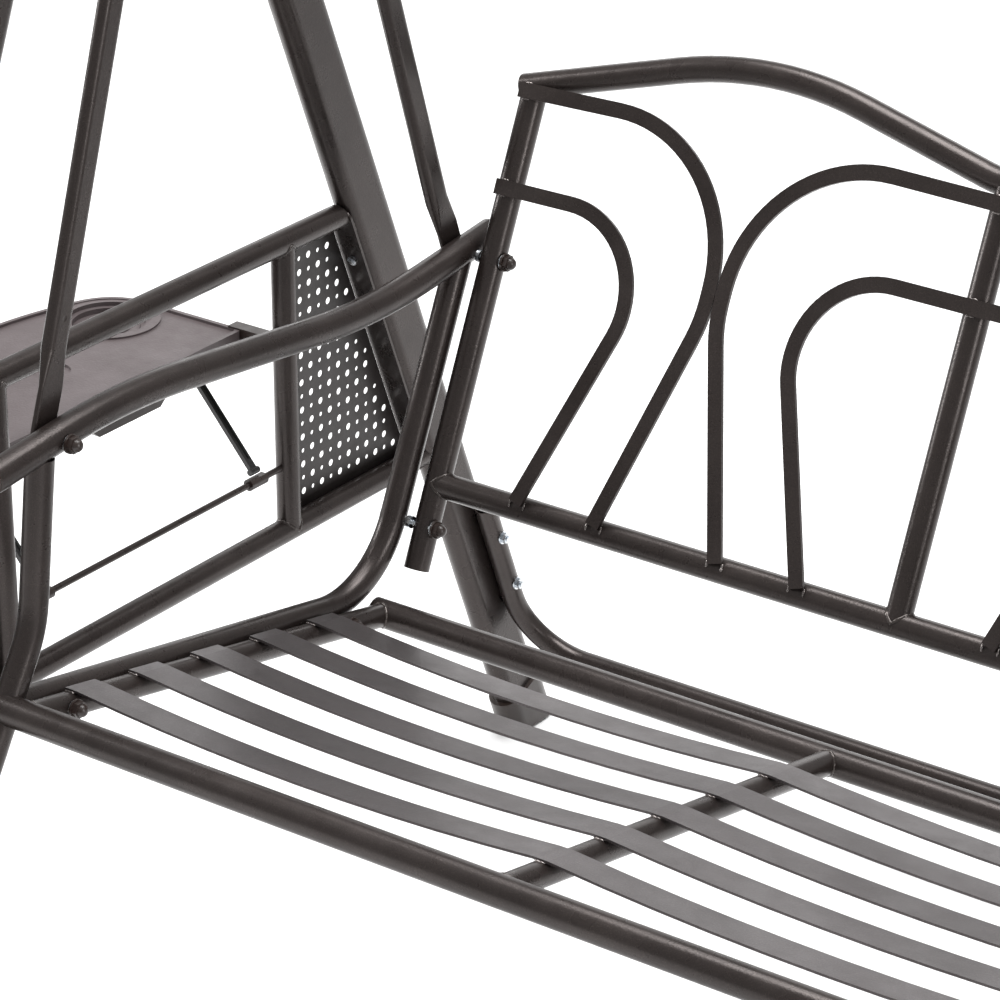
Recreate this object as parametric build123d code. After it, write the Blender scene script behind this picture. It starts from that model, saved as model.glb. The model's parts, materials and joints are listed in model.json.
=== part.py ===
from build123d import *
import math
import os

# Glider swing: a two-bay seat frame that hangs from an A-frame stand with a folding tray at each side.
# Millimetres. +X is the sitter's left, -Y is the front, +Z is up and the floor is z = 0.
# Everything is modelled on the -X side and mirrored in the plane X = 0.

WALL = 1.0                    # wall of every steel tube

# A-frame stand
SIDE_X = 751.0                # middle plane of each A-frame
LEG_WIDE, LEG_THICK = 64.0, 30.0
APEX_Z = 1617.0               # where the middle lines of a pair of legs would meet
LEG_LEAN = 22.0               # degrees from vertical
LEG_TOP_Z = 1512.0
FOOT_WIDE, FOOT_THICK, FOOT_TALL, FOOT_SOLE = 76.0, 40.0, 62.0, 5.0
SIDE_BAR_R = 13.0
UPPER_BAR_Z, LOWER_BAR_Z = 742.0, 415.5
UPRIGHT_Y = 221.0
EDGE_PLATE_THICK, EDGE_BOLT_Z = 3.0, 698.0
SHEET_THICK = 1.2
HOLE_PITCH, LARGE_HOLE_R, SMALL_HOLE_R = 15.7, 3.9, 2.6
SHEET_MARGIN = 5.0            # plain sheet kept round the field of holes
ROD_R, ROD_Z = 3.5, 490.0
CROSSBAR_R, CROSSBAR_Z, CROSSBAR_TOP_Z, CROSSBAR_BEND = 12.5, 122.0, 330.0, 80.0
CROSSBAR_BEHIND = 16.0        # its rising ends lie this far behind the middle of the rear legs

# Top of the stand
BEAM_R, BEAM_Z = 21.0, 1640.0
TOP_PLATE_THICK, TOP_PLATE_Z = 3.0, 1440.0
BEAM_PROUD = 9.0
PIVOT_R, PIVOT_Z = 6.0, 1590.0
BRACKET_THICK, BRACKET_R = 4.0, 20.0

# Seat arms
ARM_X = 582.0
ARM_R, ARMREST_R = 14.0, 15.0
ARMREST_POINTS = [(-408, 751), (-230, 770), (150, 727), (352, 750)]
ARMREST_BEND = 800.0
POST_POINTS = [(-342, 748), (-363, 585), (-441, 457)]
POST_BEND = 120.0
LOOP_POINTS = [(-396, 518), (148, 413.2), (302, 746.7)]
LOOP_BEND = 110.0

# Seat frame, on a plane that falls to the rear
SEAT_TILT = 11.8
FRONT_RAIL_Y, FRONT_RAIL_Z, FRONT_RAIL_R = -408.0, 519.0, 15.0
SEAT_DEPTH = 553.0            # between the axes of the front and back rails
BACK_RAIL_R = 15.0
SEAT_TUBE_R = 12.5
SEAT_TUBE_X = 555.0
MID_BAR_X = -18.0             # the middle bar of the seat stands a little to the sitter's right
SLAT_WIDE, SLAT_THICK, SLAT_COUNT, SLAT_SAG = 42.0, 2.5, 5, 11.0
FIRST_SLAT, SLAT_PITCH = 81.0, 91.5
SLAT_REACH = 561.0

# Backrest, on a plane that leans back
BACK_LEAN = 24.24
BACK_Y, BACK_Z = 216.0, 524.0
BACK_R = 13.5
BACK_POST_X = 549.0
BACK_POST_LOW, BACK_POST_HIGH = -91.0, 424.0
TOP_RAIL_END, TOP_RAIL_PEAK, TOP_RAIL_VALLEY = 417.0, 498.0, 430.0
TOP_RAIL_PEAK_X, TOP_RAIL_BEND, TOP_RAIL_VALLEY_BEND = 282.0, 420.0, 110.0
BAY_X = 274.5                 # middle of each bay
STRIP_WIDE, STRIP_THICK = 16.0, 4.0

# Hangers
HANGER_WIDE, HANGER_THICK = 28.0, 15.0
HANGER_FLAT, NECK = 6.0, 34.0
HANGER_TOP_Z = 1566.0
YOKE_THICK = 3.0

# Side trays
TRAY_TOP_Z, TRAY_THICK = 645.0, 16.0
TRAY_INNER_X, TRAY_OUTER_X, TRAY_HALF = 786.0, 1006.0, 195.0
TRAY_BULGE, TRAY_CORNER = 425.0, 62.0
TRAY_RIM, TRAY_DISH = 5.0, 3.0
CUP_X, CUP_Y, CUP_R, CUP_RIM_R, CUP_DEEP = 921.0, 138.0, 45.0, 55.0, 11.0
CUP_STEP = 6.0                # ledge half way down the cup recess
DIMPLE_X, DIMPLE_R = 880.0, 21.0
HINGE_X, HINGE_Z = 760.0, 638.0
HINGE_PIN_R = 4.0
STRUT_Y, STRUT_TOP_X, STRUT_TOP_Z = 168.0, 860.0, 624.0
STRUT_WIDE, STRUT_THICK = 9.0, 5.0
STRUT_PIN_R = 2.5

LEAN = math.radians(LEG_LEAN)
LEG_DIR = (0, -math.sin(LEAN), math.cos(LEAN))
LEG_ACROSS = (0, math.cos(LEAN), math.sin(LEAN))
SEAT_SLOPE = math.radians(SEAT_TILT)
SEAT = Plane(
    origin=(0, FRONT_RAIL_Y, FRONT_RAIL_Z),
    x_dir=(1, 0, 0),
    z_dir=(0, math.sin(SEAT_SLOPE), math.cos(SEAT_SLOPE)),
)
BACK_SLOPE = math.radians(BACK_LEAN)
BACK = Plane(
    origin=(0, BACK_Y, BACK_Z),
    x_dir=(1, 0, 0),
    z_dir=(0, -math.cos(BACK_SLOPE), math.sin(BACK_SLOPE)),
)
HANGER_X = ARM_X + ARMREST_R + HANGER_THICK / 2


def leg_y(z):
    return (APEX_Z - z) * math.tan(LEAN)


def rod(start, end, radius):
    """Round bar between two points."""
    start, end = Vector(start), Vector(end)
    return extrude(Plane(origin=start, z_dir=end - start) * Circle(radius), (end - start).length)


def tube(start, end, radius):
    return rod(start, end, radius) - rod(start, end, radius - WALL)


def bent_rod(points, bends, radius):
    """Round bar along straight runs joined by tangent bends."""
    path = FilletPolyline(*points, radius=bends)
    return sweep(Plane(origin=path @ 0, z_dir=path % 0) * Circle(radius), path=path)


def bent_tube(points, bends, radius):
    return bent_rod(points, bends, radius) - bent_rod(points, bends, radius - WALL)


def oval_rod(start, end, wide, thick, across):
    """Flat-sided oval bar; across is the direction of its long side."""
    start, end = Vector(start), Vector(end)
    plane = Plane(origin=start, x_dir=across, z_dir=end - start)
    return extrude(plane * SlotOverall(wide, thick), (end - start).length)


def rod_x(x1, x2, y, z, radius):
    return rod((x1, y, z), (x2, y, z), radius)


def plate_x(outline, x, thick):
    """Plate of the given (y, z) outline, from x to x + thick."""
    face = Plane(origin=(x, 0, 0), x_dir=(0, 1, 0), z_dir=(1, 0, 0)) * make_face(
        Polyline(*outline, close=True)
    )
    return extrude(face, thick)


def cut(shape, *tools):
    for tool in tools:
        shape -= tool
    return shape


def flip_x(shape):
    return mirror(shape, about=Plane.YZ)


def flip_y(shape):
    return mirror(shape, about=Plane.XZ)


def both_sides(*shapes):
    return [*shapes, *[flip_x(shape) for shape in shapes]]


def four(*shapes):
    """The shape, its front-to-rear twin and both mirrored to the other side."""
    return both_sides(*shapes, *[flip_y(shape) for shape in shapes])


def save(name, *shapes):
    solids = [solid for shape in shapes for solid in shape.solids()]
    export_step(Compound(solids), f"parts/{name}.step")


def hex_head(x, y, z, across_flats, tall):
    """Hexagon head or nut on an axis along X, growing from x towards +X (or -X for a negative height)."""
    plane = Plane(origin=(x, y, z), x_dir=(0, 1, 0), z_dir=(1, 0, 0))
    return extrude(plane * RegularPolygon(across_flats / 2, 6, major_radius=False), tall)


def cap_nut(x, y, z):
    """Domed plastic cap on a nut, growing from x towards +X."""
    flange = rod_x(x, x + 2.5, y, z, 9.5)
    body = hex_head(x + 2.5, y, z, 15.0, 5.0)
    dome = Pos(x + 7.5, y, z) * Sphere(6.5)
    return flange + body + (dome - rod_x(x - 10, x + 7.5, y, z, 12.0))


def washer_x(x, y, z, outer, inner, thick):
    return rod_x(x, x + thick, y, z, outer) - rod_x(x - 1, x + thick + 1, y, z, inner)


os.makedirs("parts", exist_ok=True)

# ---------------------------------------------------------------- stand: legs and feet
leg_low = (-SIDE_X, leg_y(-60), -60)
leg_high = (-SIDE_X, leg_y(LEG_TOP_Z), LEG_TOP_Z)
leg_outer = oval_rod(leg_low, leg_high, LEG_WIDE, LEG_THICK, LEG_ACROSS)
leg_inner = oval_rod(leg_low, leg_high, LEG_WIDE - 2 * WALL, LEG_THICK - 2 * WALL, LEG_ACROSS)
below_sole = Pos(-SIDE_X, leg_y(0), FOOT_SOLE - 150) * Box(200, 300, 300)
rear_leg = leg_outer - leg_inner - below_sole

foot_high = Vector(-SIDE_X, leg_y(0), 0) + Vector(LEG_DIR) * FOOT_TALL
foot = oval_rod(leg_low, foot_high, FOOT_WIDE, FOOT_THICK, LEG_ACROSS)
foot -= Pos(-SIDE_X, leg_y(0), -150) * Box(200, 300, 300)
foot_bottom = foot.faces().sort_by(Axis.Z)[0]
foot = fillet(foot_bottom.edges(), 4.0)
foot -= leg_outer - below_sole

# ---------------------------------------------------------------- stand: side frames
bar_reach = leg_y(LOWER_BAR_Z) + LEG_WIDE
legs_left = [leg_outer, flip_y(leg_outer)]
plate_shift = Vector(LEG_ACROSS) * (LEG_WIDE / 2 + EDGE_PLATE_THICK / 2)
edge_from = Vector(-SIDE_X, leg_y(448), 448) - plate_shift
edge_to = Vector(-SIDE_X, leg_y(760), 760) - plate_shift
edge_plane = Plane(origin=(edge_from + edge_to) * 0.5, x_dir=(1, 0, 0), z_dir=LEG_ACROSS)
edge_plate = extrude(
    edge_plane * RectangleRounded(LEG_THICK, (edge_to - edge_from).length, 7.0),
    EDGE_PLATE_THICK / 2,
    both=True,
)
edge_bolt_at = Vector(-SIDE_X, leg_y(EDGE_BOLT_Z), EDGE_BOLT_Z)
edge_bolt_at -= Vector(LEG_ACROSS) * (LEG_WIDE / 2 + EDGE_PLATE_THICK)
edge_bolt_plane = Plane(origin=edge_bolt_at, x_dir=(1, 0, 0), z_dir=LEG_ACROSS)
edge_bolt = extrude(edge_bolt_plane * RegularPolygon(5.0, 6, major_radius=False), -3.5)
edge_bolt += extrude(edge_bolt_plane * Circle(2.5), 9)
edge_hole = extrude(edge_bolt_plane * Circle(2.55), 12, both=True)
edge_plate -= edge_hole
upper_bar = tube((-SIDE_X, -bar_reach, UPPER_BAR_Z), (-SIDE_X, bar_reach, UPPER_BAR_Z), SIDE_BAR_R)
lower_bar = tube((-SIDE_X, -bar_reach, LOWER_BAR_Z), (-SIDE_X, bar_reach, LOWER_BAR_Z), SIDE_BAR_R)
plate_block = extrude(edge_plane * Rectangle(80, 460), 60)
upper_bar = cut(upper_bar, plate_block, flip_y(plate_block), edge_plate, flip_y(edge_plate))
upper_bar = upper_bar.solids().sort_by(SortBy.VOLUME)[-1]
lower_bar = cut(lower_bar, *legs_left).solids().sort_by(SortBy.VOLUME)[-1]

upper_bar_outer = rod((-SIDE_X, -300, UPPER_BAR_Z), (-SIDE_X, 300, UPPER_BAR_Z), SIDE_BAR_R)
lower_bar_outer = rod((-SIDE_X, -300, LOWER_BAR_Z), (-SIDE_X, 300, LOWER_BAR_Z), SIDE_BAR_R)
upright = tube((-SIDE_X, UPRIGHT_Y, LOWER_BAR_Z), (-SIDE_X, UPRIGHT_Y, UPPER_BAR_Z), SIDE_BAR_R)
hinge_hole = rod((-HINGE_X, 0, HINGE_Z), (-HINGE_X, 300, HINGE_Z), HINGE_PIN_R + 0.05)
upright = cut(upright, upper_bar_outer, lower_bar_outer, hinge_hole)
upright_outer = rod((-SIDE_X, UPRIGHT_Y, LOWER_BAR_Z), (-SIDE_X, UPRIGHT_Y, UPPER_BAR_Z), SIDE_BAR_R)

tray_rod = rod((-SIDE_X, -UPRIGHT_Y, ROD_Z), (-SIDE_X, UPRIGHT_Y, ROD_Z), ROD_R)
tray_rod = cut(tray_rod, upright_outer, flip_y(upright_outer))

# Perforated sheet: a square grid of holes, large and small in turn, within a plain margin
sheet_x = -SIDE_X - SIDE_BAR_R
sheet_low, sheet_high = LOWER_BAR_Z + 4, UPPER_BAR_Z - 4
edge_gap = LEG_WIDE / 2 + EDGE_PLATE_THICK + 2.0


def sheet_edge_y(z, inset=0.0):
    return leg_y(z) - (edge_gap + inset) / math.cos(LEAN)


sheet = plate_x(
    [
        (UPRIGHT_Y, sheet_low),
        (sheet_edge_y(sheet_low), sheet_low),
        (sheet_edge_y(sheet_high), sheet_high),
        (UPRIGHT_Y, sheet_high),
    ],
    sheet_x - SHEET_THICK,
    SHEET_THICK,
)
hole_plane = Plane(origin=(sheet_x - 5, 0, 0), x_dir=(0, 1, 0), z_dir=(1, 0, 0))
holes = []
for column in range(14):
    for row in range(20):
        hole_y = UPRIGHT_Y + 27.0 + column * HOLE_PITCH
        hole_z = 440.0 + row * HOLE_PITCH
        if hole_z > UPPER_BAR_Z - SIDE_BAR_R - SHEET_MARGIN:
            continue
        if hole_y > sheet_edge_y(hole_z, 2 * SHEET_MARGIN):
            continue
        hole_r = LARGE_HOLE_R if (row + column) % 2 else SMALL_HOLE_R
        holes.append(Pos(hole_y, hole_z) * Circle(hole_r))
sheet -= extrude(hole_plane * Sketch(holes), 10)

# ---------------------------------------------------------------- stand: rear crossbar
crossbar_x = SIDE_X - LEG_THICK / 2 - CROSSBAR_R
crossbar_points = [
    (-crossbar_x, leg_y(CROSSBAR_TOP_Z) + CROSSBAR_BEHIND, CROSSBAR_TOP_Z),
    (-crossbar_x, leg_y(CROSSBAR_Z) + CROSSBAR_BEHIND, CROSSBAR_Z),
    (crossbar_x, leg_y(CROSSBAR_Z) + CROSSBAR_BEHIND, CROSSBAR_Z),
    (crossbar_x, leg_y(CROSSBAR_TOP_Z) + CROSSBAR_BEHIND, CROSSBAR_TOP_Z),
]
crossbar = bent_tube(crossbar_points, [CROSSBAR_BEND, CROSSBAR_BEND], CROSSBAR_R)

# ---------------------------------------------------------------- stand: bolts along X
stand_bolts, stand_nuts, stand_washers, leg_holes = [], [], [], []


def stand_bolt(y, z, x_outer, x_inner, radius, flats):
    """Bolt on the -X side with its nut towards the seat."""
    shank = rod_x(x_outer, x_inner + 8, y, z, radius)
    stand_bolts.append(shank + hex_head(x_outer - 1.5, y, z, flats, -0.6 * flats / 2))
    stand_bolts[-1] += rod_x(x_outer - 1.5, x_outer, y, z, radius)
    stand_washers.append(washer_x(x_outer - 1.5, y, z, flats * 0.75, radius + 0.05, 1.5))
    stand_washers.append(washer_x(x_inner, y, z, flats * 0.75, radius + 0.05, 1.5))
    stand_nuts.append(hex_head(x_inner + 1.5, y, z, flats, 5.0) - shank)
    leg_holes.append(rod_x(-SIDE_X - 60, -SIDE_X + 60, y, z, radius + 0.05))


crossbar_inner = -crossbar_x + CROSSBAR_R
for bolt_z in (288.0, 220.0):
    stand_bolt(leg_y(bolt_z) + CROSSBAR_BEHIND, bolt_z, -SIDE_X - LEG_THICK / 2, crossbar_inner, 3.0, 10.0)
top_plate_in = -SIDE_X + LEG_THICK / 2
top_plate_out = -SIDE_X - LEG_THICK / 2 - TOP_PLATE_THICK
for bolt_z in (1465.0, 1497.0):
    for front in (-1, 1):
        stand_bolt(front * leg_y(bolt_z), bolt_z, top_plate_out, top_plate_in + TOP_PLATE_THICK, 4.0, 13.0)

crossbar = cut(crossbar, *[hole for hole in both_sides(*leg_holes[:2])])
rear_leg = cut(rear_leg, *leg_holes, edge_hole)
front_leg = cut(flip_y(leg_outer - leg_inner - below_sole), *leg_holes[2:], flip_y(edge_hole))

# ---------------------------------------------------------------- stand: top plates, beam and brackets
plate_half_low = leg_y(TOP_PLATE_Z) + 26
top_outline = [
    (-plate_half_low, TOP_PLATE_Z),
    (plate_half_low, TOP_PLATE_Z),
    (36, BEAM_Z + 30),
    (-36, BEAM_Z + 30),
]
beam_end = SIDE_X + LEG_THICK / 2 + TOP_PLATE_THICK + BEAM_PROUD
beam = tube((-beam_end, 0, BEAM_Z), (beam_end, 0, BEAM_Z), BEAM_R)
beam_solid = rod((-beam_end, 0, BEAM_Z), (beam_end, 0, BEAM_Z), BEAM_R)
top_plates = [
    cut(plate_x(top_outline, x, TOP_PLATE_THICK), beam_solid, *leg_holes[2:])
    for x in (top_plate_in, top_plate_out)
]
beam_cap = rod_x(-beam_end - 3, -beam_end, 0, BEAM_Z, BEAM_R)
beam_cap = fillet(beam_cap.faces().sort_by(Axis.X)[0].edges(), 2.0)
beam_cap += rod_x(-beam_end, -beam_end + 15, 0, BEAM_Z, BEAM_R - WALL)

yoke_gap = HANGER_THICK / 2 + 0.1
bracket_gap = yoke_gap + YOKE_THICK + 1.4
bracket_outline = [
    (-BRACKET_R, PIVOT_Z),
    (BRACKET_R, PIVOT_Z),
    (BRACKET_R, BEAM_Z),
    (-BRACKET_R, BEAM_Z),
]
brackets = []
for x in (-HANGER_X - bracket_gap - BRACKET_THICK, -HANGER_X + bracket_gap):
    bracket = plate_x(bracket_outline, x, BRACKET_THICK)
    bracket += rod_x(x, x + BRACKET_THICK, 0, PIVOT_Z, BRACKET_R)
    brackets.append(cut(bracket, beam_solid, rod_x(-700, 0, 0, PIVOT_Z, PIVOT_R + 0.05)))
pivot_out = -HANGER_X - bracket_gap - BRACKET_THICK
pivot_in = -HANGER_X + bracket_gap + BRACKET_THICK
pivot_bolt = rod_x(pivot_out, pivot_in + 10, 0, PIVOT_Z, PIVOT_R)
pivot_bolt += hex_head(pivot_out, 0, PIVOT_Z, 19.0, -8.0)
pivot_nut = hex_head(pivot_in, 0, PIVOT_Z, 19.0, 9.0) - pivot_bolt

# ---------------------------------------------------------------- seat: fasteners along X
seat_bolts, seat_caps, seat_washers, seat_holes = [], [], [], []


def seat_bolt(y, z, x_outer, x_inner):
    """Bolt with its head at x_outer and a capped nut at x_inner."""
    shank = rod_x(x_outer - 1.2, x_inner + 6, y, z, 3.0)
    seat_bolts.append(shank + hex_head(x_outer - 1.2, y, z, 10.0, -4.0))
    seat_washers.append(washer_x(x_outer - 1.2, y, z, 7.5, 3.05, 1.2))
    seat_washers.append(washer_x(x_inner, y, z, 8.5, 3.05, 1.2))
    seat_caps.append(cap_nut(x_inner + 1.2, y, z) - shank)
    seat_holes.append(rod_x(x_outer - 20, x_inner + 20, y, z, 3.05))


hanger_out = -HANGER_X - HANGER_THICK / 2 + (HANGER_THICK - HANGER_FLAT)
arm_in, arm_out = -ARM_X + ARM_R, -ARM_X - ARM_R
back_in = -BACK_POST_X + BACK_R
seat_tube_in = -SEAT_TUBE_X + SEAT_TUBE_R
FRONT_HANG = (-318.0, 758.0)
REAR_HANG = (312.0, 741.0)
BACK_BOLT = (190.5, 486.0)
seat_bolt(*FRONT_HANG, hanger_out, -ARM_X + ARMREST_R)
seat_bolt(*REAR_HANG, hanger_out, back_in)
seat_bolt(*BACK_BOLT, arm_out, back_in)
seat_bolt(-355.0, 509.0, arm_out, seat_tube_in)
seat_bolt(60.0, 426.0, arm_out, seat_tube_in)

# ---------------------------------------------------------------- seat: arms
armrest_points = [(-ARM_X, y, z) for y, z in ARMREST_POINTS]
armrest_outer = bent_rod(armrest_points, [ARMREST_BEND, ARMREST_BEND], ARMREST_R)
armrest = cut(bent_tube(armrest_points, [ARMREST_BEND, ARMREST_BEND], ARMREST_R), *seat_holes[:2])
post_points = [(-ARM_X, y, z) for y, z in POST_POINTS]
post_outer = bent_rod(post_points, [POST_BEND], ARM_R)
arm_post = bent_tube(post_points, [POST_BEND], ARM_R) - armrest_outer
arm_post = arm_post.solids().sort_by(SortBy.VOLUME)[-1]
loop_points = [(-ARM_X, y, z) for y, z in LOOP_POINTS]
front_rail_outer = rod((-ARM_X, FRONT_RAIL_Y, FRONT_RAIL_Z), (ARM_X, FRONT_RAIL_Y, FRONT_RAIL_Z), FRONT_RAIL_R)
arm_loop = bent_tube(loop_points, [LOOP_BEND], ARM_R)
arm_loop = cut(arm_loop, post_outer, armrest_outer, front_rail_outer, *seat_holes[2:])
arm_loop = arm_loop.solids().sort_by(SortBy.VOLUME)[-1]


def armrest_cap(end, towards):
    """Plastic plug with a rounded face in an open end of the armrest."""
    end, towards = Vector(end), Vector(towards)
    out = (end - towards).normalized()
    head = rod(end, end + out * 4, ARMREST_R)
    head = fillet(head.faces().sort_by(Axis(tuple(end), tuple(out)))[-1].edges(), 3.0)
    return head + rod(end - out * 18, end, ARMREST_R - WALL)


armrest_caps = [
    armrest_cap(armrest_points[0], armrest_points[1]),
    armrest_cap(armrest_points[-1], armrest_points[-2]),
]

# ---------------------------------------------------------------- seat: frame and slats


def on_seat(x, along, up=0.0):
    return SEAT.from_local_coords(Vector(x, along, up))


front_rail = tube(on_seat(-ARM_X, 0), on_seat(ARM_X, 0), FRONT_RAIL_R)
front_rail = cut(front_rail, post_outer, flip_x(post_outer)).solids().sort_by(SortBy.VOLUME)[-1]
back_half = SEAT_TUBE_X + SEAT_TUBE_R
back_rail = tube(on_seat(-back_half, SEAT_DEPTH), on_seat(back_half, SEAT_DEPTH), BACK_RAIL_R)
back_rail_outer = rod(on_seat(-back_half, SEAT_DEPTH), on_seat(back_half, SEAT_DEPTH), BACK_RAIL_R)
seat_side = cut(
    tube(on_seat(-SEAT_TUBE_X, 0), on_seat(-SEAT_TUBE_X, SEAT_DEPTH), SEAT_TUBE_R),
    front_rail_outer,
    back_rail_outer,
    *seat_holes[3:],
)
mid_bar = tube(on_seat(MID_BAR_X, 0), on_seat(MID_BAR_X, SEAT_DEPTH), SEAT_TUBE_R)
mid_bar = cut(mid_bar, front_rail_outer, back_rail_outer)


def slat_edge(height, sag):
    """A slat's edge line: flat over the three tubes, hanging between them."""
    low, high = -SEAT_TUBE_X + 8, SEAT_TUBE_X - 8
    left, right = MID_BAR_X - 8, MID_BAR_X + 8
    return [
        Line((-SLAT_REACH, height), (low, height)),
        ThreePointArc((low, height), ((low + left) / 2, height - sag), (left, height)),
        Line((left, height), (right, height)),
        ThreePointArc((right, height), ((right + high) / 2, height - sag), (high, height)),
        Line((high, height), (SLAT_REACH, height)),
    ]


slat_profile = make_face(
    [
        *slat_edge(SEAT_TUBE_R, SLAT_SAG),
        *slat_edge(SEAT_TUBE_R + SLAT_THICK, SLAT_SAG),
        Line((-SLAT_REACH, SEAT_TUBE_R), (-SLAT_REACH, SEAT_TUBE_R + SLAT_THICK)),
        Line((SLAT_REACH, SEAT_TUBE_R), (SLAT_REACH, SEAT_TUBE_R + SLAT_THICK)),
    ]
)
slats = []
for index in range(SLAT_COUNT):
    middle = FIRST_SLAT + index * SLAT_PITCH
    plane = Plane(origin=on_seat(0, middle), x_dir=(1, 0, 0), z_dir=SEAT.y_dir)
    slat = extrude(plane * mirror(slat_profile, about=Plane.XZ), SLAT_WIDE / 2, both=True)
    slats.append(slat)

# ---------------------------------------------------------------- seat: backrest


def on_back(x, height, proud=0.0):
    return BACK.from_local_coords(Vector(x, height, proud))


top_rail_points = [
    on_back(-BACK_POST_X - BACK_R, TOP_RAIL_END - 1),
    on_back(-TOP_RAIL_PEAK_X, TOP_RAIL_PEAK),
    on_back(0, TOP_RAIL_VALLEY),
    on_back(TOP_RAIL_PEAK_X, TOP_RAIL_PEAK),
    on_back(BACK_POST_X + BACK_R, TOP_RAIL_END - 1),
]
top_rail_bends = [TOP_RAIL_BEND, TOP_RAIL_VALLEY_BEND, TOP_RAIL_BEND]
top_rail = bent_tube(top_rail_points, top_rail_bends, BACK_R)
top_rail_outer = bent_rod(top_rail_points, top_rail_bends, BACK_R)
back_post = tube(on_back(-BACK_POST_X, BACK_POST_LOW), on_back(-BACK_POST_X, BACK_POST_HIGH), BACK_R)
back_post_outer = rod(on_back(-BACK_POST_X, BACK_POST_LOW), on_back(-BACK_POST_X, BACK_POST_HIGH), BACK_R)
back_post = cut(back_post, top_rail_outer, *seat_holes[1:3]).solids().sort_by(SortBy.VOLUME)[-1]
bottom_rail = tube(on_back(-BACK_POST_X, 0), on_back(BACK_POST_X, 0), BACK_R)
bottom_rail = cut(bottom_rail, back_post_outer, flip_x(back_post_outer))
bottom_rail = bottom_rail.solids().sort_by(SortBy.VOLUME)[-1]
bottom_rail_outer = rod(on_back(-BACK_POST_X, 0), on_back(BACK_POST_X, 0), BACK_R)
mid_post = tube(on_back(0, 0), on_back(0, TOP_RAIL_VALLEY), BACK_R)
mid_post = cut(mid_post, bottom_rail_outer, top_rail_outer).solids().sort_by(SortBy.VOLUME)[-1]


def scroll(points, bends):
    """Flat strip bent in the plane of the backrest, on the front of its tubes."""
    route = [on_back(-BAY_X + offset, height, BACK_R + STRIP_THICK / 2) for offset, height in points]
    path = FilletPolyline(*route, radius=bends)
    plane = Plane(origin=path @ 0, x_dir=BACK.z_dir, z_dir=path % 0)
    return sweep(plane * Rectangle(STRIP_THICK, STRIP_WIDE), path=path)


def scroll_across(points, bends):
    """The same strip mirrored in its bay, running on over the middle post into the other bay."""
    near = [(-offset, height) for offset, height in reversed(points[1:])]
    far = [(2 * BAY_X + offset, height) for offset, height in points[1:]]
    return scroll([*near, (BAY_X, points[0][1]), *far], [*reversed(bends), SCROLL_CROWN, *bends])


SCROLL_CROWN = 300.0
TALL = [(-283, 412), (-8.3, 417), (-8.3, 232), (-73.5, 6)]
SHORT = [(-283, 311), (-99, 312), (-99, 207), (-168, 6)]
tall_scroll, tall_middle = scroll(TALL, [148, 150]), scroll_across(TALL, [148, 150])
short_scroll, short_middle = scroll(SHORT, [90, 85]), scroll_across(SHORT, [90, 85])

spacers = []
for (y, z), start in ((REAR_HANG, -ARM_X + ARMREST_R), (BACK_BOLT, arm_in)):
    spacers.append(washer_x(start, y, z, 6.5, 3.05, -BACK_POST_X - BACK_R - start))

# ---------------------------------------------------------------- seat: hangers and yokes


def hanger(top, bend, bolt):
    """Oval hanger bar whose lower end is pressed flat against the armrest."""
    top_point = Vector(-HANGER_X, top, HANGER_TOP_Z)
    bend_point = Vector(-HANGER_X, *bend)
    down = (bend_point - top_point).normalized()
    across = Vector(0, down.Z, -down.Y)
    start = top_point - down * 16
    main = oval_rod(start, bend_point, HANGER_WIDE, HANGER_THICK, across)
    main -= oval_rod(start, bend_point, HANGER_WIDE - 2 * WALL, HANGER_THICK - 2 * WALL, across)
    flat_x = -HANGER_X + (HANGER_THICK - HANGER_FLAT) / 2
    bolt_point = Vector(flat_x, *bolt)
    neck_down = (bolt_point - Vector(flat_x, *bend)).normalized()
    neck_start = Vector(flat_x, *bend) + neck_down * NECK
    neck_across = Vector(0, neck_down.Z, -neck_down.Y)
    upper = Plane(origin=bend_point, x_dir=across, z_dir=down) * SlotOverall(HANGER_WIDE, HANGER_THICK)
    lower_plane = Plane(origin=neck_start, x_dir=neck_across, z_dir=neck_down)
    lower = lower_plane * SlotOverall(HANGER_WIDE + 3, HANGER_FLAT)
    neck = loft([upper.face(), lower.face()])
    tongue = extrude(lower_plane * SlotOverall(HANGER_WIDE + 3, HANGER_FLAT), (bolt_point - neck_start).length + 15)
    return main + neck + tongue


YOKE_FRONT, YOKE_REAR = -58.0, 42.0
front_hanger = hanger(YOKE_FRONT, (-292, 834), FRONT_HANG)
rear_hanger = hanger(YOKE_REAR, (291, 800), REAR_HANG)
yoke_bolts_y = (YOKE_FRONT, YOKE_REAR)
yoke_holes = [rod_x(-700, 0, y, HANGER_TOP_Z, 4.05) for y in yoke_bolts_y]
dimple_y = YOKE_FRONT + (-292 - YOKE_FRONT) * (HANGER_TOP_Z - 862) / (HANGER_TOP_Z - 834)
dimple = Pos(-HANGER_X + HANGER_THICK / 2 + 7.4, dimple_y, 862) * Sphere(8)
front_hanger = cut(front_hanger, yoke_holes[0], seat_holes[0], dimple)
rear_hanger = cut(rear_hanger, yoke_holes[1], seat_holes[1])
bush = washer_x(-HANGER_X - bracket_gap + 0.4, 0, PIVOT_Z, 9.0, PIVOT_R + 0.08, 2 * bracket_gap - 0.8)
bush_outer = rod_x(-700, 0, 0, PIVOT_Z, 9.0)
yoke_outline = [
    (YOKE_FRONT - 17, HANGER_TOP_Z - 14),
    (YOKE_REAR + 17, HANGER_TOP_Z - 14),
    (YOKE_REAR + 17, HANGER_TOP_Z + 8),
    (16, PIVOT_Z + 16),
    (-16, PIVOT_Z + 16),
    (YOKE_FRONT - 17, HANGER_TOP_Z + 8),
]
yokes = []
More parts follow.
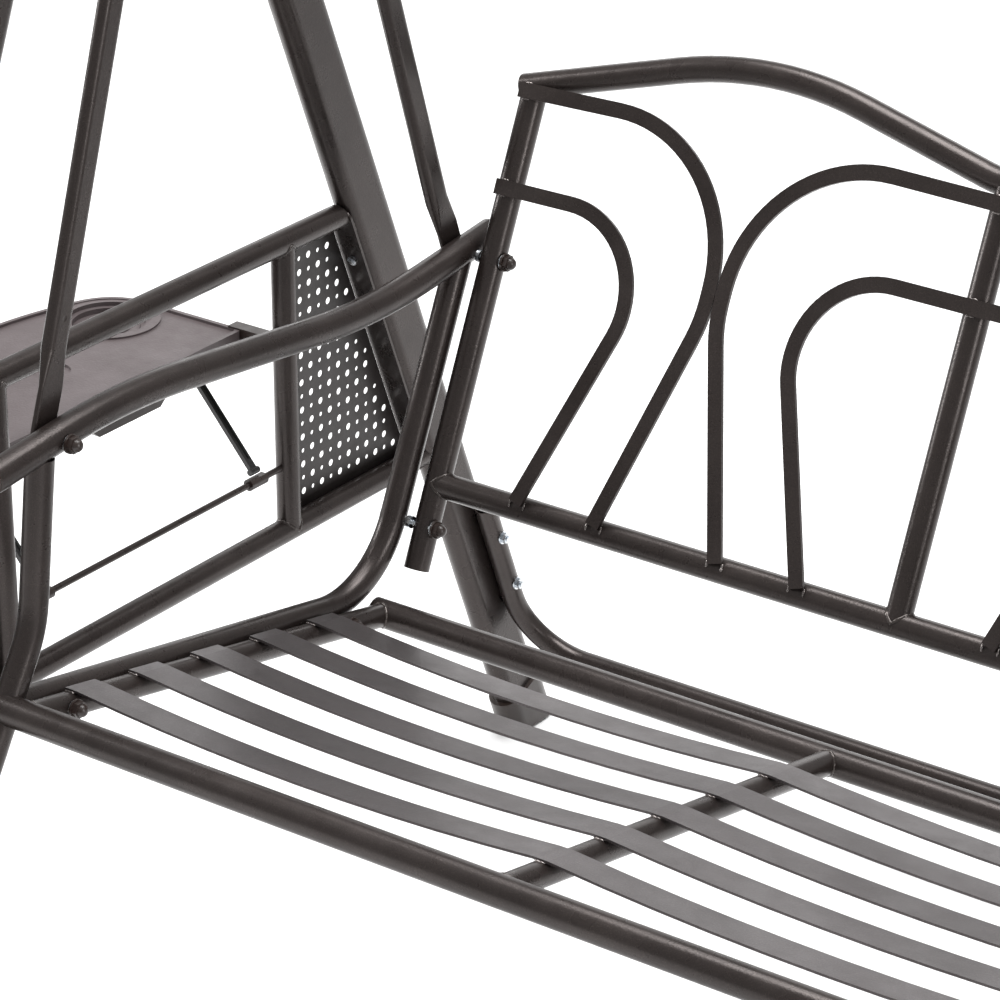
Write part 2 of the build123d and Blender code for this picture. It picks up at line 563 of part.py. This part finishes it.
for x in (-HANGER_X - yoke_gap - YOKE_THICK, -HANGER_X + yoke_gap):
    yokes.append(cut(plate_x(yoke_outline, x, YOKE_THICK), bush_outer, *yoke_holes))
yoke_bolts, yoke_nuts = [], []
yoke_reach = yoke_gap + YOKE_THICK
for y in yoke_bolts_y:
    bolt = rod_x(-HANGER_X - yoke_reach, -HANGER_X + yoke_reach + 7, y, HANGER_TOP_Z, 4.0)
    yoke_bolts.append(bolt + hex_head(-HANGER_X - yoke_reach, y, HANGER_TOP_Z, 13.0, -5.0))
    yoke_nuts.append(hex_head(-HANGER_X + yoke_reach, y, HANGER_TOP_Z, 13.0, 6.0) - bolt)

# ---------------------------------------------------------------- trays
tray_edge = make_face(
    Polyline(
        (-TRAY_INNER_X, -TRAY_HALF),
        (-TRAY_INNER_X, TRAY_HALF),
        (-TRAY_OUTER_X - 20, TRAY_HALF),
        (-TRAY_OUTER_X - 20, -TRAY_HALF),
        close=True,
    )
)
tray_edge = tray_edge & (Pos(-TRAY_OUTER_X + TRAY_BULGE, 0) * Circle(TRAY_BULGE))
tray_corners = tray_edge.vertices().sort_by(Axis.X)
tray_edge = fillet(tray_corners[:2], TRAY_CORNER)
tray_edge = fillet(tray_edge.vertices().sort_by(Axis.X)[-2:], 8.0)
tray_low_z = TRAY_TOP_Z - TRAY_THICK
tray = extrude(Pos(0, 0, tray_low_z) * tray_edge, TRAY_THICK)
dish = offset(tray_edge, -TRAY_RIM)
tray -= extrude(Pos(0, 0, TRAY_TOP_Z - TRAY_DISH) * dish, 10)
cup_cutters, cup_rims = [], []
for cup_y in (-CUP_Y, CUP_Y):
    cup_place = Pos(-CUP_X, cup_y, TRAY_TOP_Z - CUP_DEEP)
    rim = extrude(Pos(-CUP_X, cup_y, TRAY_TOP_Z - TRAY_DISH - 0.5) * Circle(CUP_RIM_R), TRAY_DISH - 0.5)
    tray += rim & extrude(Pos(0, 0, tray_low_z) * tray_edge, TRAY_THICK)
    cup_cutters.append(extrude(cup_place * Circle(CUP_R - CUP_STEP), 30))
    cup_cutters.append(extrude(Pos(0, 0, CUP_DEEP / 2) * cup_place * Circle(CUP_R), 30))
tray = cut(tray, *cup_cutters)
tray -= extrude(Pos(-DIMPLE_X, 0, TRAY_TOP_Z - TRAY_DISH - 3) * Circle(DIMPLE_R), 10)

bracket_half, bracket_low_z = 58.0, tray_low_z - 17.0
tray_bracket_outline = [
    (-bracket_half, tray_low_z),
    (bracket_half, tray_low_z),
    (bracket_half, bracket_low_z + 9),
    (bracket_half - 11, bracket_low_z),
    (-bracket_half + 11, bracket_low_z),
    (-bracket_half, bracket_low_z + 9),
]
bracket_block = plate_x(tray_bracket_outline, -TRAY_INNER_X, 12)
bracket_top = Pos(-TRAY_INNER_X - 20, 0, tray_low_z - 1.5) * Box(40, 116, 3)
tray_bracket = bracket_block + bracket_top

hinge_pin = rod((-HINGE_X, 184, HINGE_Z), (-HINGE_X, UPRIGHT_Y + 8, HINGE_Z), HINGE_PIN_R)
ear = Pos(-(TRAY_INNER_X + HINGE_X - 9) / 2, 197.5, HINGE_Z) * Box(TRAY_INNER_X - HINGE_X + 9, 15, 18)
ear += Pos(-TRAY_INNER_X - 8, 197.5 + 0, HINGE_Z) * Box(16, 15, 18)
ear = cut(ear, tray, rod((-HINGE_X, 0, HINGE_Z), (-HINGE_X, 300, HINGE_Z), HINGE_PIN_R + 0.08))

strut_pin = rod(
    (-STRUT_TOP_X, STRUT_Y - 9, STRUT_TOP_Z), (-STRUT_TOP_X, STRUT_Y + 9, STRUT_TOP_Z), STRUT_PIN_R
)
lug = Pos(-STRUT_TOP_X, STRUT_Y, (STRUT_TOP_Z - 5 + tray_low_z) / 2) * Box(
    12, 18, tray_low_z - STRUT_TOP_Z + 5
)
lug -= Pos(-STRUT_TOP_X, STRUT_Y, STRUT_TOP_Z) * Box(30, STRUT_WIDE + 1, 11)
lug -= strut_pin
clip_top = ROD_Z + 6.5
strut_low = Vector(-SIDE_X - 3.0, STRUT_Y, clip_top + 4.5)
strut_high = Vector(-STRUT_TOP_X, STRUT_Y, STRUT_TOP_Z)
strut_dir = (strut_low - strut_high).normalized()
strut_plane = Plane(origin=strut_high, x_dir=(0, 1, 0), z_dir=strut_dir)
strut_length = (strut_low - strut_high).length
strut = extrude(strut_plane * Rectangle(STRUT_WIDE, STRUT_THICK), strut_length)
strut += rod(
    (-STRUT_TOP_X, STRUT_Y - STRUT_WIDE / 2, STRUT_TOP_Z),
    (-STRUT_TOP_X, STRUT_Y + STRUT_WIDE / 2, STRUT_TOP_Z),
    4.5,
)
strut += rod(strut_low - Vector(0, 7, 0), strut_low + Vector(0, 7, 0), 3.5)
groove_plane = Plane(origin=strut_high + strut_dir * 12, x_dir=(0, 1, 0), z_dir=strut_dir)
for side in (-1, 1):
    groove = Pos(0, side * STRUT_THICK / 2) * Rectangle(3.0, 2.4)
    strut -= extrude(groove_plane * groove, strut_length - 26)
strut -= rod(
    (-STRUT_TOP_X, STRUT_Y - 20, STRUT_TOP_Z), (-STRUT_TOP_X, STRUT_Y + 20, STRUT_TOP_Z), STRUT_PIN_R + 0.08
)
clip = rod((-SIDE_X, STRUT_Y - 13, ROD_Z), (-SIDE_X, STRUT_Y + 13, ROD_Z), 6.5)
clip = clip - Pos(-SIDE_X, STRUT_Y, ROD_Z + 10) * Box(40, 40, 9)
clip -= rod((-SIDE_X, STRUT_Y - 30, ROD_Z), (-SIDE_X, STRUT_Y + 30, ROD_Z), ROD_R)

# ---------------------------------------------------------------- files
save("leg_front_left", front_leg)
save("leg_rear_left", rear_leg)
save("leg_front_right", flip_x(front_leg))
save("leg_rear_right", flip_x(rear_leg))
save("foot_caps", *four(foot))
save("side_upper_bars", *both_sides(upper_bar))
save("side_lower_bars", *both_sides(lower_bar))
save("side_uprights", *four(upright))
save("panel_edge_plates", *four(edge_plate))
save("perforated_panels", *four(sheet))
save("tray_rods", *both_sides(tray_rod))
save("strut_clips", *four(clip))
save("rear_crossbar", crossbar)
save("top_beam", beam)
save("beam_end_caps", *both_sides(beam_cap))
save("leg_top_plates", *both_sides(*top_plates))
save("hanger_brackets", *both_sides(*brackets))
save("pivot_bolts", *both_sides(pivot_bolt))
save("stand_bolts", *both_sides(*stand_bolts), *four(edge_bolt))
save("stand_nuts", *both_sides(*stand_nuts, pivot_nut))
save("stand_washers", *both_sides(*stand_washers))
save("tray_hinge_pins", *four(hinge_pin))

save("front_rail", front_rail)
save("back_rail", back_rail)
save("seat_side_tubes", *both_sides(seat_side))
save("seat_mid_bar", mid_bar)
save("seat_slats", *slats)
save("arm_posts", *both_sides(arm_post))
save("arm_loop_left", arm_loop)
save("arm_loop_right", flip_x(arm_loop))
save("armrest_left", armrest)
save("armrest_right", flip_x(armrest))
save("armrest_end_caps", *both_sides(*armrest_caps))
save("back_posts", *both_sides(back_post))
save("back_mid_post", mid_post)
save("back_bottom_rail", bottom_rail)
save("back_top_rail", top_rail)
save("back_scrolls_tall", *both_sides(tall_scroll), tall_middle)
save("back_scrolls_short", *both_sides(short_scroll), short_middle)
save("back_spacers", *both_sides(*spacers))
save("hangers_front", *both_sides(front_hanger))
save("hangers_rear", *both_sides(rear_hanger))
save("hanger_yokes", *both_sides(*yokes))
save("yoke_bolts", *both_sides(*yoke_bolts))
save("yoke_nuts", *both_sides(*yoke_nuts))
save("pivot_bushes", *both_sides(bush))
save("seat_bolts", *both_sides(*seat_bolts))
save("seat_cap_nuts", *both_sides(*seat_caps))
save("seat_washers", *both_sides(*seat_washers))

for side, place in (("left", lambda shape: shape), ("right", flip_x)):
    save(f"tray_{side}", place(tray))
    save(f"tray_bracket_{side}", place(tray_bracket))
    save(f"tray_ears_{side}", place(ear), place(flip_y(ear)))
    save(f"strut_lugs_{side}", *[place(item) for item in (lug, flip_y(lug), strut_pin, flip_y(strut_pin))])
    save(f"tray_struts_{side}", place(strut), place(flip_y(strut)))
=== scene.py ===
import json
import math

import bmesh
import bpy
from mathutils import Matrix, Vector


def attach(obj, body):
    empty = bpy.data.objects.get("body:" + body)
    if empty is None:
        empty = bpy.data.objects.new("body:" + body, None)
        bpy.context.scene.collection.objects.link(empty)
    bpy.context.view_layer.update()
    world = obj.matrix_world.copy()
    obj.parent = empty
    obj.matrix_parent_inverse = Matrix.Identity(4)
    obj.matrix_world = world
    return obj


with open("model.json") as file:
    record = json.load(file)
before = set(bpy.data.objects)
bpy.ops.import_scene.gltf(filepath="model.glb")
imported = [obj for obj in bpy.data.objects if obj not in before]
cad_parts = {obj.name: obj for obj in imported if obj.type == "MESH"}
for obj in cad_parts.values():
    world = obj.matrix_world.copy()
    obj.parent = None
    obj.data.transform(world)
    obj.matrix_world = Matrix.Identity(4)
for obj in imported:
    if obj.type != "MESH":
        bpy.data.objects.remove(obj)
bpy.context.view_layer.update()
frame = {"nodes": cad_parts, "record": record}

# ------------------------------------------------------------------ dimensions, in metres, as in the CAD
SIDE_X = 0.751
LEG_LEAN = math.radians(22.0)
APEX_Z = 1.617
LEG_WIDE = 0.064
SIDE_BAR_R = 0.013
UPPER_BAR_Z, LOWER_BAR_Z, UPRIGHT_Y = 0.742, 0.4155, 0.221
FRONT_RAIL = Vector((0, -0.408, 0.519))
FRONT_RAIL_R, BACK_RAIL_R, SEAT_TUBE_R = 0.015, 0.015, 0.0125
SEAT_TUBE_X, MID_BAR_X = 0.555, -0.018
SEAT_TILT, SEAT_DEPTH = math.radians(11.8), 0.553
SLAT_WIDE, SLAT_COUNT, FIRST_SLAT, SLAT_PITCH = 0.042, 5, 0.081, 0.0915
BACK_ORIGIN = Vector((0, 0.216, 0.524))
BACK_LEAN, BACK_R, BACK_POST_X = math.radians(24.24), 0.0135, 0.549
STRIP_WIDE = 0.016
STRIP_ON_POST, STRIP_ON_MID_POST = (0.412, 0.311), (0.4115, 0.3107)   # heights up the backrest
BAY_X, STRIP_FEET = 0.2745, (-0.168, -0.0735, 0.0735, 0.168)
FOOT_SLOPE = 0.31                 # sideways lean of a strip where it stands on the bottom rail
TRAY_TOP_Z, CUP_X, CUP_Y, CUP_DEEP = 0.645, 0.921, 0.138, 0.011
CUP_RING_RADII = (0.012, 0.022, 0.032)

# Weld beads, and the gap that keeps a ring from meeting a tube of its own radius
TUBE_BEAD, SLAT_BEAD, STRIP_BEAD, EDGE_BEAD = 0.0018, 0.0014, 0.0013, 0.0014
SAME_RADIUS_GAP = 0.00001
EDGE_SEAM_HEIGHTS = (0.462, 0.56, 0.66, 0.74)

SEAT_ALONG = Vector((0, math.cos(SEAT_TILT), -math.sin(SEAT_TILT)))
SEAT_UP = Vector((0, math.sin(SEAT_TILT), math.cos(SEAT_TILT)))
BACK_UP = Vector((0, math.sin(BACK_LEAN), math.cos(BACK_LEAN)))
BACK_FRONT = Vector((0, -math.cos(BACK_LEAN), math.sin(BACK_LEAN)))
X = Vector((1, 0, 0))
Y = Vector((0, 1, 0))
Z = Vector((0, 0, 1))


# ------------------------------------------------------------------ materials
def new_material(name):
    material = bpy.data.materials.new(name)
    material.use_nodes = True
    tree = material.node_tree
    return material, tree, tree.nodes["Principled BSDF"]


def node(tree, kind, **values):
    made = tree.nodes.new(kind)
    for key, value in values.items():
        if key in made.inputs:
            made.inputs[key].default_value = value
        else:
            setattr(made, key, value)
    return made


def ramp(tree, source, stops):
    made = tree.nodes.new("ShaderNodeValToRGB")
    elements = made.color_ramp.elements
    while len(elements) < len(stops):
        elements.new(0.5)
    for element, (position, colour) in zip(elements, stops):
        element.position = position
        element.color = (*(colour if isinstance(colour, tuple) else (colour,) * 3), 1.0)
    tree.links.new(source, made.inputs["Fac"])
    return made.outputs["Color"]


def bumps(tree, shader, layers):
    """Stacks bump nodes, each (height, strength, distance in metres)."""
    normal = None
    for height, strength, distance in layers:
        bump = node(tree, "ShaderNodeBump", Strength=strength, Distance=distance)
        tree.links.new(height, bump.inputs["Height"])
        if normal:
            tree.links.new(normal, bump.inputs["Normal"])
        normal = bump.outputs["Normal"]
    tree.links.new(normal, shader.inputs["Normal"])


def noise(tree, coords, scale, detail=4.0, roughness=0.55):
    made = node(tree, "ShaderNodeTexNoise", Scale=scale, Detail=detail, Roughness=roughness)
    tree.links.new(coords, made.inputs["Vector"])
    return made.outputs["Fac"]


def powder_coat(name, dark, light, rough, metallic):
    """Satin powder coat: soft mottling, fine metallic speckle, orange peel and uneven gloss."""
    material, tree, shader = new_material(name)
    coords = tree.nodes.new("ShaderNodeTexCoord").outputs["Object"]
    mottle = noise(tree, coords, 9.0, 3.0)
    grain = noise(tree, coords, 900.0, 2.0, 0.7)
    mix = node(tree, "ShaderNodeMix", data_type="RGBA", blend_type="MULTIPLY")
    mix.inputs["Factor"].default_value = 1.0
    base = ramp(tree, mottle, [(0.3, dark), (0.7, light)])
    speck = ramp(tree, grain, [(0.35, 0.7), (0.6, 1.0), (0.74, 1.7)])
    tree.links.new(base, mix.inputs["A"])
    tree.links.new(speck, mix.inputs["B"])
    tree.links.new(mix.outputs["Result"], shader.inputs["Base Color"])
    gloss = ramp(tree, noise(tree, coords, 35.0, 4.0), [(0.3, rough - 0.05), (0.7, rough + 0.06)])
    tree.links.new(gloss, shader.inputs["Roughness"])
    shader.inputs["Metallic"].default_value = metallic
    shader.inputs["Coat Weight"].default_value = 0.12
    shader.inputs["Coat Roughness"].default_value = 0.3
    peel = noise(tree, coords, 420.0, 2.0)
    bumps(tree, shader, [(peel, 0.35, 0.0004), (grain, 0.18, 0.0002)])
    return material


def zinc_plate():
    """Bright zinc: bluish and yellowish bloom, fine turning marks, dull spots."""
    material, tree, shader = new_material("zinc")
    coords = tree.nodes.new("ShaderNodeTexCoord").outputs["Object"]
    bloom = noise(tree, coords, 120.0, 3.0)
    stops = [(0.3, (0.42, 0.47, 0.53)), (0.55, (0.62, 0.64, 0.66)), (0.8, (0.68, 0.64, 0.56))]
    tint = ramp(tree, bloom, stops)
    tree.links.new(tint, shader.inputs["Base Color"])
    dull = ramp(tree, noise(tree, coords, 300.0, 4.0), [(0.35, 0.2), (0.75, 0.42)])
    tree.links.new(dull, shader.inputs["Roughness"])
    shader.inputs["Metallic"].default_value = 1.0
    bumps(tree, shader, [(noise(tree, coords, 1500.0, 2.0), 0.2, 0.0002)])
    return material


def plastic(name, dark, light, rough, peel_scale, peel_depth):
    """Moulded plastic: faint flow mottling over a fine leather-like texture."""
    material, tree, shader = new_material(name)
    coords = tree.nodes.new("ShaderNodeTexCoord").outputs["Object"]
    tint = ramp(tree, noise(tree, coords, 14.0, 3.0), [(0.3, dark), (0.7, light)])
    tree.links.new(tint, shader.inputs["Base Color"])
    gloss = ramp(tree, noise(tree, coords, 60.0, 3.0), [(0.3, rough - 0.06), (0.7, rough + 0.08)])
    tree.links.new(gloss, shader.inputs["Roughness"])
    texture = node(tree, "ShaderNodeTexVoronoi", Scale=peel_scale, feature="SMOOTH_F1")
    tree.links.new(coords, texture.inputs["Vector"])
    fine = noise(tree, coords, peel_scale * 2.5, 2.0)
    bumps(tree, shader, [(texture.outputs["Distance"], 0.5, peel_depth), (fine, 0.3, peel_depth / 2)])
    return material


PAINT = powder_coat("frame_paint", (0.030, 0.0225, 0.0205), (0.044, 0.034, 0.031), 0.29, 0.55)
# Slat paint: the frame's brown powder coat lightened and greyed, a painted reflection of the grey sheen
# on the slat tops.
SLAT_PAINT_WITH_PAINTED_REFLECTION = powder_coat("slat_paint", (0.085, 0.075, 0.075), (0.112, 0.099, 0.100), 0.36, 0.7)
PANEL_PAINT = powder_coat("panel_paint", (0.020, 0.016, 0.015), (0.028, 0.023, 0.022), 0.40, 0.4)
WELD_PAINT = powder_coat("weld_paint", (0.040, 0.032, 0.029), (0.070, 0.057, 0.052), 0.26, 0.5)
WELD_METAL = powder_coat("weld_metal", (0.110, 0.095, 0.090), (0.300, 0.270, 0.260), 0.24, 0.8)
BLACK_WIRE = powder_coat("black_wire", (0.010, 0.010, 0.010), (0.022, 0.021, 0.021), 0.32, 0.3)
ZINC = zinc_plate()
CAP_PLASTIC = plastic("brown_plastic", (0.016, 0.010, 0.008), (0.028, 0.018, 0.015), 0.32, 900.0, 0.00012)
TRAY_PLASTIC = plastic("tray_plastic", (0.070, 0.055, 0.056), (0.098, 0.080, 0.082), 0.42, 420.0, 0.0003)
NYLON = plastic("nylon", (0.62, 0.61, 0.57), (0.72, 0.71, 0.67), 0.45, 700.0, 0.0001)

BY_SLOT = {
    "frame_paint": PAINT,
    "slat_paint": SLAT_PAINT_WITH_PAINTED_REFLECTION,
    "panel_paint": PANEL_PAINT,
    "zinc": ZINC,
    "brown_plastic": CAP_PLASTIC,
    "tray_plastic": TRAY_PLASTIC,
    "black_wire": BLACK_WIRE,
    "nylon": NYLON,
}


def dress_cad():
    """Gives every CAD node the material of its slot."""
    for part in frame["record"]["subparts"]:
        item = frame["nodes"][part["node"]]
        item.data.materials.clear()
        item.data.materials.append(BY_SLOT[part["material_slot"]])


# ------------------------------------------------------------------ pieces
def piece(name, mesh, body, material):
    made = bpy.data.objects.new(name, mesh)
    bpy.context.scene.collection.objects.link(made)
    made.data.materials.append(material)
    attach(made, body)
    return made


def bead(shape, points, out, size, closed, seed):
    """A weld bead: a low scalloped ridge along the points; out gives each point's outward direction."""
    count = len(points)
    rings = []
    for index, point in enumerate(points):
        ahead = points[(index + 1) % count] if closed else points[min(index + 1, count - 1)]
        behind = points[index - 1] if closed or index else points[0]
        along = (ahead - behind).normalized()
        up = out[index]
        across = along.cross(up).normalized()
        swell = 1.0 + 0.22 * math.sin(index * 1.9 + seed) + 0.12 * math.sin(index * 0.73 + 2.1 * seed)
        if not closed and index in (0, count - 1):
            swell *= 0.35
        ring = []
        for step in range(8):
            angle = math.tau * step / 8
            reach = across * math.cos(angle) * size * swell + up * math.sin(angle) * size * 0.75 * swell
            ring.append(shape.verts.new(point + reach))
        rings.append(ring)
    spans = count if closed else count - 1
    for index in range(spans):
        first, second = rings[index], rings[(index + 1) % count]
        for step in range(8):
            turn = (step + 1) % 8
            shape.faces.new((first[step], first[turn], second[turn], second[step]))
    if not closed:
        shape.faces.new(rings[0])
        shape.faces.new(list(reversed(rings[-1])))


def saddle(centre, along, small_r, main_along, main_r, steps=40):
    """The line where a small tube leaving centre along `along` meets a main tube through centre."""
    along, main_along = along.normalized(), main_along.normalized()
    side = main_along.cross(along).normalized()
    other = along.cross(side).normalized()
    points, out = [], []
    for step in range(steps):
        angle = math.tau * step / steps
        radial = side * math.cos(angle) + other * math.sin(angle)
        offset = radial * small_r
        flat = offset - main_along * offset.dot(main_along)
        run = along - main_along * along.dot(main_along)
        a = run.dot(run)
        b = 2 * flat.dot(run)
        c = flat.dot(flat) - main_r * main_r
        reach = (-b + math.sqrt(max(b * b - 4 * a * c, 0.0))) / (2 * a)
        points.append(centre + offset + along * reach)
        out.append((radial + along * 0.4).normalized())
    return points, out


def finish_mesh(name, shape, body, material):
    bmesh.ops.recalc_face_normals(shape, faces=shape.faces)
    mesh = bpy.data.meshes.new(name)
    shape.to_mesh(mesh)
    shape.free()
    for face in mesh.polygons:
        face.use_smooth = True
    return piece(name, mesh, body, material)


def on_seat(x, along, up=0.0):
    return FRONT_RAIL + X * x + SEAT_ALONG * along + SEAT_UP * up


def on_back(x, height, proud=0.0):
    return BACK_ORIGIN + X * x + BACK_UP * height + BACK_FRONT * proud


def leg_y(z):
    return (APEX_Z - z) * math.tan(LEG_LEAN)


def seam(shape, start, end, up, size, seed, steps=9):
    """A straight bead between two points."""
    points = [start.lerp(end, step / (steps - 1)) for step in range(steps)]
    bead(shape, points, [up] * steps, size, False, seed)


def seat_frame_welds():
    """Rings where the tubes of the seat and backrest meet."""
    shape = bmesh.new()
    seed = 0.0
    joints = []
    for x in (-SEAT_TUBE_X, MID_BAR_X, SEAT_TUBE_X):
        joints.append((on_seat(x, 0), SEAT_ALONG, SEAT_TUBE_R, X, FRONT_RAIL_R))
        joints.append((on_seat(x, SEAT_DEPTH), -SEAT_ALONG, SEAT_TUBE_R, X, BACK_RAIL_R))
    for side in (-1, 1):
        post = on_back(side * BACK_POST_X, 0)
        joints.append((post, X * -side, BACK_R, BACK_UP, BACK_R + SAME_RADIUS_GAP))
    joints.append((on_back(0, 0), BACK_UP, BACK_R, X, BACK_R + SAME_RADIUS_GAP))
    for joint in joints:
        seed += 1.0
        bead(shape, *saddle(*joint), TUBE_BEAD, True, seed)
    return finish_mesh("seat_frame_welds", shape, "seat", WELD_PAINT)


def slat_welds():
    """Short seams along both edges of each slat where it crosses a tube."""
    shape = bmesh.new()
    seed = 0.0
    for index in range(SLAT_COUNT):
        middle = FIRST_SLAT + index * SLAT_PITCH
        for x in (-SEAT_TUBE_X, MID_BAR_X, SEAT_TUBE_X):
            for edge in (-1, 1):
                seed += 1.0
                along = middle + edge * (SLAT_WIDE / 2 + 0.0003)
                height = SEAT_TUBE_R - 0.0002
                ends = [on_seat(x + offset, along, height) for offset in (-0.0055, 0.0055)]
                seam(shape, *ends, SEAT_UP, SLAT_BEAD, seed)
    return finish_mesh("slat_welds", shape, "seat", WELD_METAL)


def scroll_welds():
    """Seams where the bent strips cross the posts and stand on the bottom rail."""
    shape = bmesh.new()
    seed = 0.0
    half = STRIP_WIDE / 2 + 0.0002
    proud = BACK_R + 0.0004
    crossings = (
        (-BACK_POST_X, STRIP_ON_POST),
        (0.0, STRIP_ON_MID_POST),
        (BACK_POST_X, STRIP_ON_POST),
    )
    for x, heights in crossings:
        for height in heights:
            for edge in (-half, half):
                seed += 1.0
                ends = [on_back(x + offset, height + edge, proud) for offset in (-0.004, 0.004)]
                seam(shape, *ends, BACK_FRONT, STRIP_BEAD, seed, 7)
    for bay in (-BAY_X, BAY_X):
        for offset in STRIP_FEET:
            for edge in (-half - 0.0005, half + 0.0005):
                seed += 1.0
                lean = -FOOT_SLOPE if offset < 0 else FOOT_SLOPE
                x = bay + offset + edge - lean * 0.004
                ends = [on_back(x, height, proud) for height in (0.0, 0.008)]
                seam(shape, *ends, BACK_FRONT, STRIP_BEAD, seed, 7)
    return finish_mesh("scroll_welds", shape, "seat", WELD_METAL)


def side_welds():
    """Rings where the side frames' uprights meet their bars, and seams along the edge plates."""
    shape = bmesh.new()
    seed = 0.0
    across = Vector((0, math.cos(LEG_LEAN), math.sin(LEG_LEAN)))
    up_leg = Vector((0, -math.sin(LEG_LEAN), math.cos(LEG_LEAN)))
    for side in (-1, 1):
        for front in (-1, 1):
            flip = Vector((1, front, 1))
            for height, along in ((UPPER_BAR_Z, -Z), (LOWER_BAR_Z, Z)):
                seed += 1.0
                centre = Vector((side * SIDE_X, front * UPRIGHT_Y, height))
                ring = saddle(centre, along, SIDE_BAR_R, Y, SIDE_BAR_R + SAME_RADIUS_GAP)
                bead(shape, *ring, TUBE_BEAD, True, seed)
            for edge in (-1, 1):
                for height in EDGE_SEAM_HEIGHTS:
                    seed += 1.0
                    on_axis = Vector((side * SIDE_X + edge * 0.0135, leg_y(height), height))
                    foot = on_axis - across * (LEG_WIDE / 2)
                    low, high = (foot - up_leg * 0.009) * flip, (foot + up_leg * 0.009) * flip
                    seam(shape, low, high, -across * flip, EDGE_BEAD, seed, 9)
    return finish_mesh("side_welds", shape, "stand", WELD_PAINT)


def ring_strip(shape, profile, centre, steps=96):
    """Turns a closed (radius, height) profile about a vertical axis."""
    rings = []
    for step in range(steps):
        angle = math.tau * step / steps
        ring = []
        for radius, height in profile:
            reach = Vector((radius * math.cos(angle), radius * math.sin(angle), height))
            ring.append(shape.verts.new(centre + reach))
        rings.append(ring)
    count = len(profile)
    for step in range(steps):
        first, second = rings[step], rings[(step + 1) % steps]
        for index in range(count):
            turn = (index + 1) % count
            shape.faces.new((first[index], second[index], second[turn], first[turn]))


def cup_rings(side, name):
    """Raised rings moulded into the floor of each cup recess."""
    shape = bmesh.new()
    for front in (-1, 1):
        floor = Vector((side * CUP_X, front * CUP_Y, TRAY_TOP_Z - CUP_DEEP))
        for radius in CUP_RING_RADII:
            profile = [
                (radius - 0.0014, -0.0003),
                (radius - 0.0009, 0.0007),
                (radius - 0.0003, 0.0011),
                (radius + 0.0003, 0.0011),
                (radius + 0.0009, 0.0007),
                (radius + 0.0014, -0.0003),
            ]
            ring_strip(shape, profile, floor)
    return finish_mesh("cup_rings_" + name, shape, "tray_" + name, TRAY_PLASTIC)


# ------------------------------------------------------------------ stage
def stage():
    floor_shape = bmesh.new()
    bmesh.ops.create_grid(floor_shape, x_segments=8, y_segments=8, size=14.0)
    mesh = bpy.data.meshes.new("floor")
    floor_shape.to_mesh(mesh)
    floor_shape.free()
    floor = bpy.data.objects.new("floor", mesh)
    bpy.context.scene.collection.objects.link(floor)
    floor.location.z = -0.0005
    material, tree, shader = new_material("floor_paper")
    coords = tree.nodes.new("ShaderNodeTexCoord").outputs["Object"]
    tint = ramp(tree, noise(tree, coords, 2.0), [(0.3, 0.86), (0.7, 0.9)])
    tree.links.new(tint, shader.inputs["Base Color"])
    shader.inputs["Roughness"].default_value = 0.9
    floor.data.materials.append(material)


def area_light(name, place, target, size, power):
    data = bpy.data.lights.new(name, "AREA")
    data.shape = "RECTANGLE"
    data.size, data.size_y = size
    data.energy = power
    light = bpy.data.objects.new(name, data)
    light.location = place
    light.rotation_euler = (Vector(target) - Vector(place)).to_track_quat("-Z", "Y").to_euler()
    bpy.context.scene.collection.objects.link(light)


def lights():
    world = bpy.data.worlds.new("studio")
    bpy.context.scene.world = world
    world.use_nodes = True
    world.node_tree.nodes["Background"].inputs["Color"].default_value = (1.0, 1.0, 1.0, 1.0)
    world.node_tree.nodes["Background"].inputs["Strength"].default_value = 0.5
    area_light("overhead", (-0.3, 0.9, 5.0), (0, 0.1, 0.6), (4.0, 2.4), 330.0)
    area_light("key", (-4.3, -0.9, 2.4), (0, 0, 0.7), (0.8, 2.6), 150.0)
    area_light("back", (-2.2, 3.9, 1.7), (0, 0, 0.6), (3.2, 1.8), 27.0)
    area_light("fill", (4.4, -0.8, 2.2), (0, 0, 0.7), (0.8, 2.6), 90.0)


def camera():
    data = bpy.data.cameras.new("camera")
    data.sensor_width = 36.0
    data.lens = 149.0
    data.clip_end = 60.0
    item = bpy.data.objects.new("camera", data)
    item.location = (1.7768, -2.8727, 2.3000)
    item.rotation_euler = (math.radians(65.10), 0.0, math.radians(36.03))
    bpy.context.scene.collection.objects.link(item)
    bpy.context.scene.camera = item


camera()
stage()
lights()
bpy.context.scene.view_settings.view_transform = "Standard"
dress_cad()
seat_frame_welds()
slat_welds()
scroll_welds()
side_welds()
cup_rings(-1, "left")
cup_rings(1, "right")
